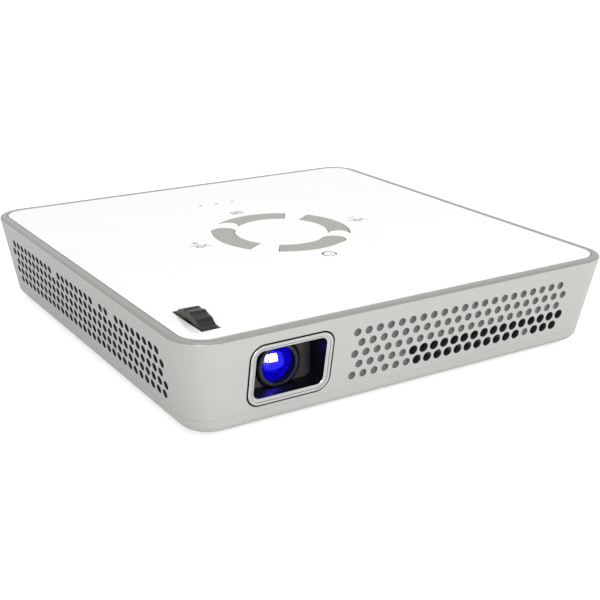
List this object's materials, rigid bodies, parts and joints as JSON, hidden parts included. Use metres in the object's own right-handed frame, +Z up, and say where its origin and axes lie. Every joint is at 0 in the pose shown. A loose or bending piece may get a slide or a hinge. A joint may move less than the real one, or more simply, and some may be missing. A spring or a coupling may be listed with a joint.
{
  "type": "pocket projector",
  "caption": "Flat square palm-size projector with a framed lens window, a thumb focus wheel, a broken ring of keys and drilled cooling grilles.",
  "frame": {"origin": "middle of the casing, on the surface that its feet stand on", "axes": "+Z up; the lens looks along -Y and the sockets face +Y; +X is to the right seen from behind the projector"},
  "size_m": [0.1228, 0.1228, 0.0265],
  "materials": {
    "casing_silver": "satin silver-grey paint on plastic",
    "panel_white": "glossy white",
    "pale_rubber": "pale translucent",
    "black_rubber": "matt black",
    "dark_steel": "black coated",
    "brass_insert": "machined",
    "bright_trim": "bright satin",
    "black_plastic": "matt black",
    "wheel_black": "satin black",
    "white_acetal": "natural",
    "bright_steel": "ground",
    "dark_plastic": "fine grain",
    "barrel_black": "black anodised",
    "blue_coated_glass": "blue coating",
    "clear_glass": "polished",
    "chip_ceramic": "ceramic frame with a mirror face",
    "green_board": "solder mask",
    "tinted_glass": "thin film",
    "copper": "bare copper",
    "fan_black": "moulded",
    "clear_plastic": "clear",
    "cell_foil": "dull foil",
    "foam_pad": "foam",
    "chip_black": "moulded",
    "shield_can": "tinned",
    "speaker_black": "moulded",
    "flat_cable": "polyimide film",
    "lead_red": "soft sleeve",
    "lamp_board": "white solder mask",
    "socket_steel": "nickel plated",
    "key_metal": "satin"
  },
  "bodies": {
    "casing": {"side_frame": "casing_silver", "bottom_cover": "casing_silver", "top_panel": "panel_white", "lens_corner_foot": "pale_rubber", "rubber_feet": "black_rubber", "casing_screws": "dark_steel", "tripod_insert": "brass_insert", "lens_bezel": "bright_trim", "lens_hood": "black_plastic", "wheel_axle": "bright_steel", "wheel_bracket": "dark_plastic", "guide_rods": "bright_steel", "engine_housing": "dark_plastic", "engine_cover": "dark_plastic", "mirror_chip": "chip_ceramic", "chip_board": "green_board", "prism": "clear_glass", "colour_plates": "tinted_glass", "heat_block": "copper", "heat_pipe": "copper", "fin_stack": "copper", "fan_housing": "fan_black", "fan_cover": "fan_black", "fan_bearing": "brass_insert", "fan_stator": "dark_steel", "key_board": "green_board", "light_pipe": "clear_plastic", "battery_cells": "cell_foil", "battery_pads": "foam_pad", "main_board": "green_board", "board_screws": "bright_steel", "board_chips": "chip_black", "wireless_module": "shield_can", "socket_tongues": "black_plastic", "audio_jack": "black_plastic", "speaker": "speaker_black", "key_flex": "flat_cable", "chip_flex": "flat_cable", "inner_leads": "lead_red", "red_lamp": "lamp_board", "green_lamp": "lamp_board", "blue_lamp": "lamp_board", "video_socket": "socket_steel", "data_socket": "socket_steel", "power_socket": "socket_steel"},
    "focus_wheel": {"focus_wheel": "wheel_black", "focus_pinion": "white_acetal"},
    "focus_carriage": {"lens_barrel": "barrel_black", "lens_retainer": "barrel_black", "front_lens": "blue_coated_glass", "rear_lens": "clear_glass", "focus_rack": "white_acetal"},
    "fan_rotor": {"fan_impeller": "fan_black", "fan_shaft": "bright_steel"},
    "volume_up_button": {"volume_up_key": "key_metal"},
    "volume_down_button": {"volume_down_key": "key_metal"},
    "source_button": {"source_key": "key_metal"},
    "power_button": {"power_key": "key_metal"}
  },
  "joints": [
    {"name": "focus_turn", "type": "hinge", "parent": "casing", "child": "focus_wheel", "pos_m": [-0.05164, -0.0475, 0.0168], "axis": [1, 0, 0], "range_deg": [-22.5, 22.5]},
    {"name": "focus_slide", "type": "slide", "parent": "casing", "child": "focus_carriage", "axis": [0, 1, 0], "range_m": [-0.00117, 0.00117]},
    {"name": "fan_spin", "type": "hinge", "parent": "casing", "child": "fan_rotor", "pos_m": [0.02889, -0.0255, 0.008], "axis": [0, 0, 1], "continuous": true},
    {"name": "volume_up_press", "type": "slide", "parent": "casing", "child": "volume_up_button", "axis": [0, 0, -1], "range_m": [0, 0.0004], "stiffness_N_per_m": 200, "springref_m": -0.0005},
    {"name": "volume_down_press", "type": "slide", "parent": "casing", "child": "volume_down_button", "axis": [0, 0, -1], "range_m": [0, 0.0004], "stiffness_N_per_m": 200, "springref_m": -0.0005},
    {"name": "source_press", "type": "slide", "parent": "casing", "child": "source_button", "axis": [0, 0, -1], "range_m": [0, 0.0004], "stiffness_N_per_m": 200, "springref_m": -0.0005},
    {"name": "power_press", "type": "slide", "parent": "casing", "child": "power_button", "axis": [0, 0, -1], "range_m": [0, 0.0004], "stiffness_N_per_m": 200, "springref_m": -0.0005}
  ],
  "couplings": [
    {"joint": "focus_turn", "follows": "focus_slide", "rad_per_m": 333.33}
  ]
}
